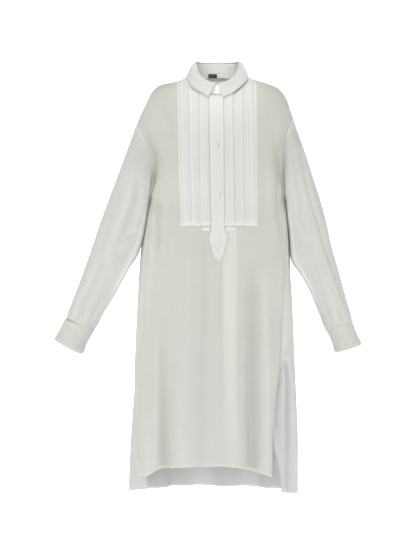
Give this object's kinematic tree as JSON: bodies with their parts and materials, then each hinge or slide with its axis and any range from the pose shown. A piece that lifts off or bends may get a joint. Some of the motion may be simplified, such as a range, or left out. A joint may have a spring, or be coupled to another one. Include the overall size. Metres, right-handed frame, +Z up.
{
  "type": "long shirt",
  "caption": "Long sheer long-sleeved shirt with a small pointed collar, a tucked bib and placket with an ogee tab, turned-back cuffs and side slits, in its worn shape.",
  "frame": {"origin": "middle of the neck base at the height of the shoulder seams' neck ends, where the wearer's shoulders carry it", "axes": "+Z up towards the collar, -Y towards the front, +X towards the wearer's left"},
  "size_m": [0.8285, 0.2601, 1.1682],
  "materials": {
    "voile": "sheer, soft plain weave, off-white",
    "bib_cloth": "the same cloth doubled, so denser and paler",
    "collar_cloth": "the same cloth doubled and stiffened, smooth",
    "button": "pearly off-white",
    "label": "plain dark woven tape",
    "size_tab": "plain tan woven tape"
  },
  "bodies": {
    "root": {"back_panel": "voile", "bib_left": "bib_cloth", "bib_right": "bib_cloth", "collar_button": "button", "collar_fall": "collar_cloth", "collar_stand": "collar_cloth", "cuff_left": "bib_cloth", "cuff_right": "bib_cloth", "front_panel": "voile", "neck_label": "label", "placket": "bib_cloth", "pleat_head_left": "bib_cloth", "pleat_head_right": "bib_cloth", "size_tab": "size_tab", "sleeve_left": "voile", "sleeve_right": "voile", "stand_button": "button"}
  },
  "joints": []
}
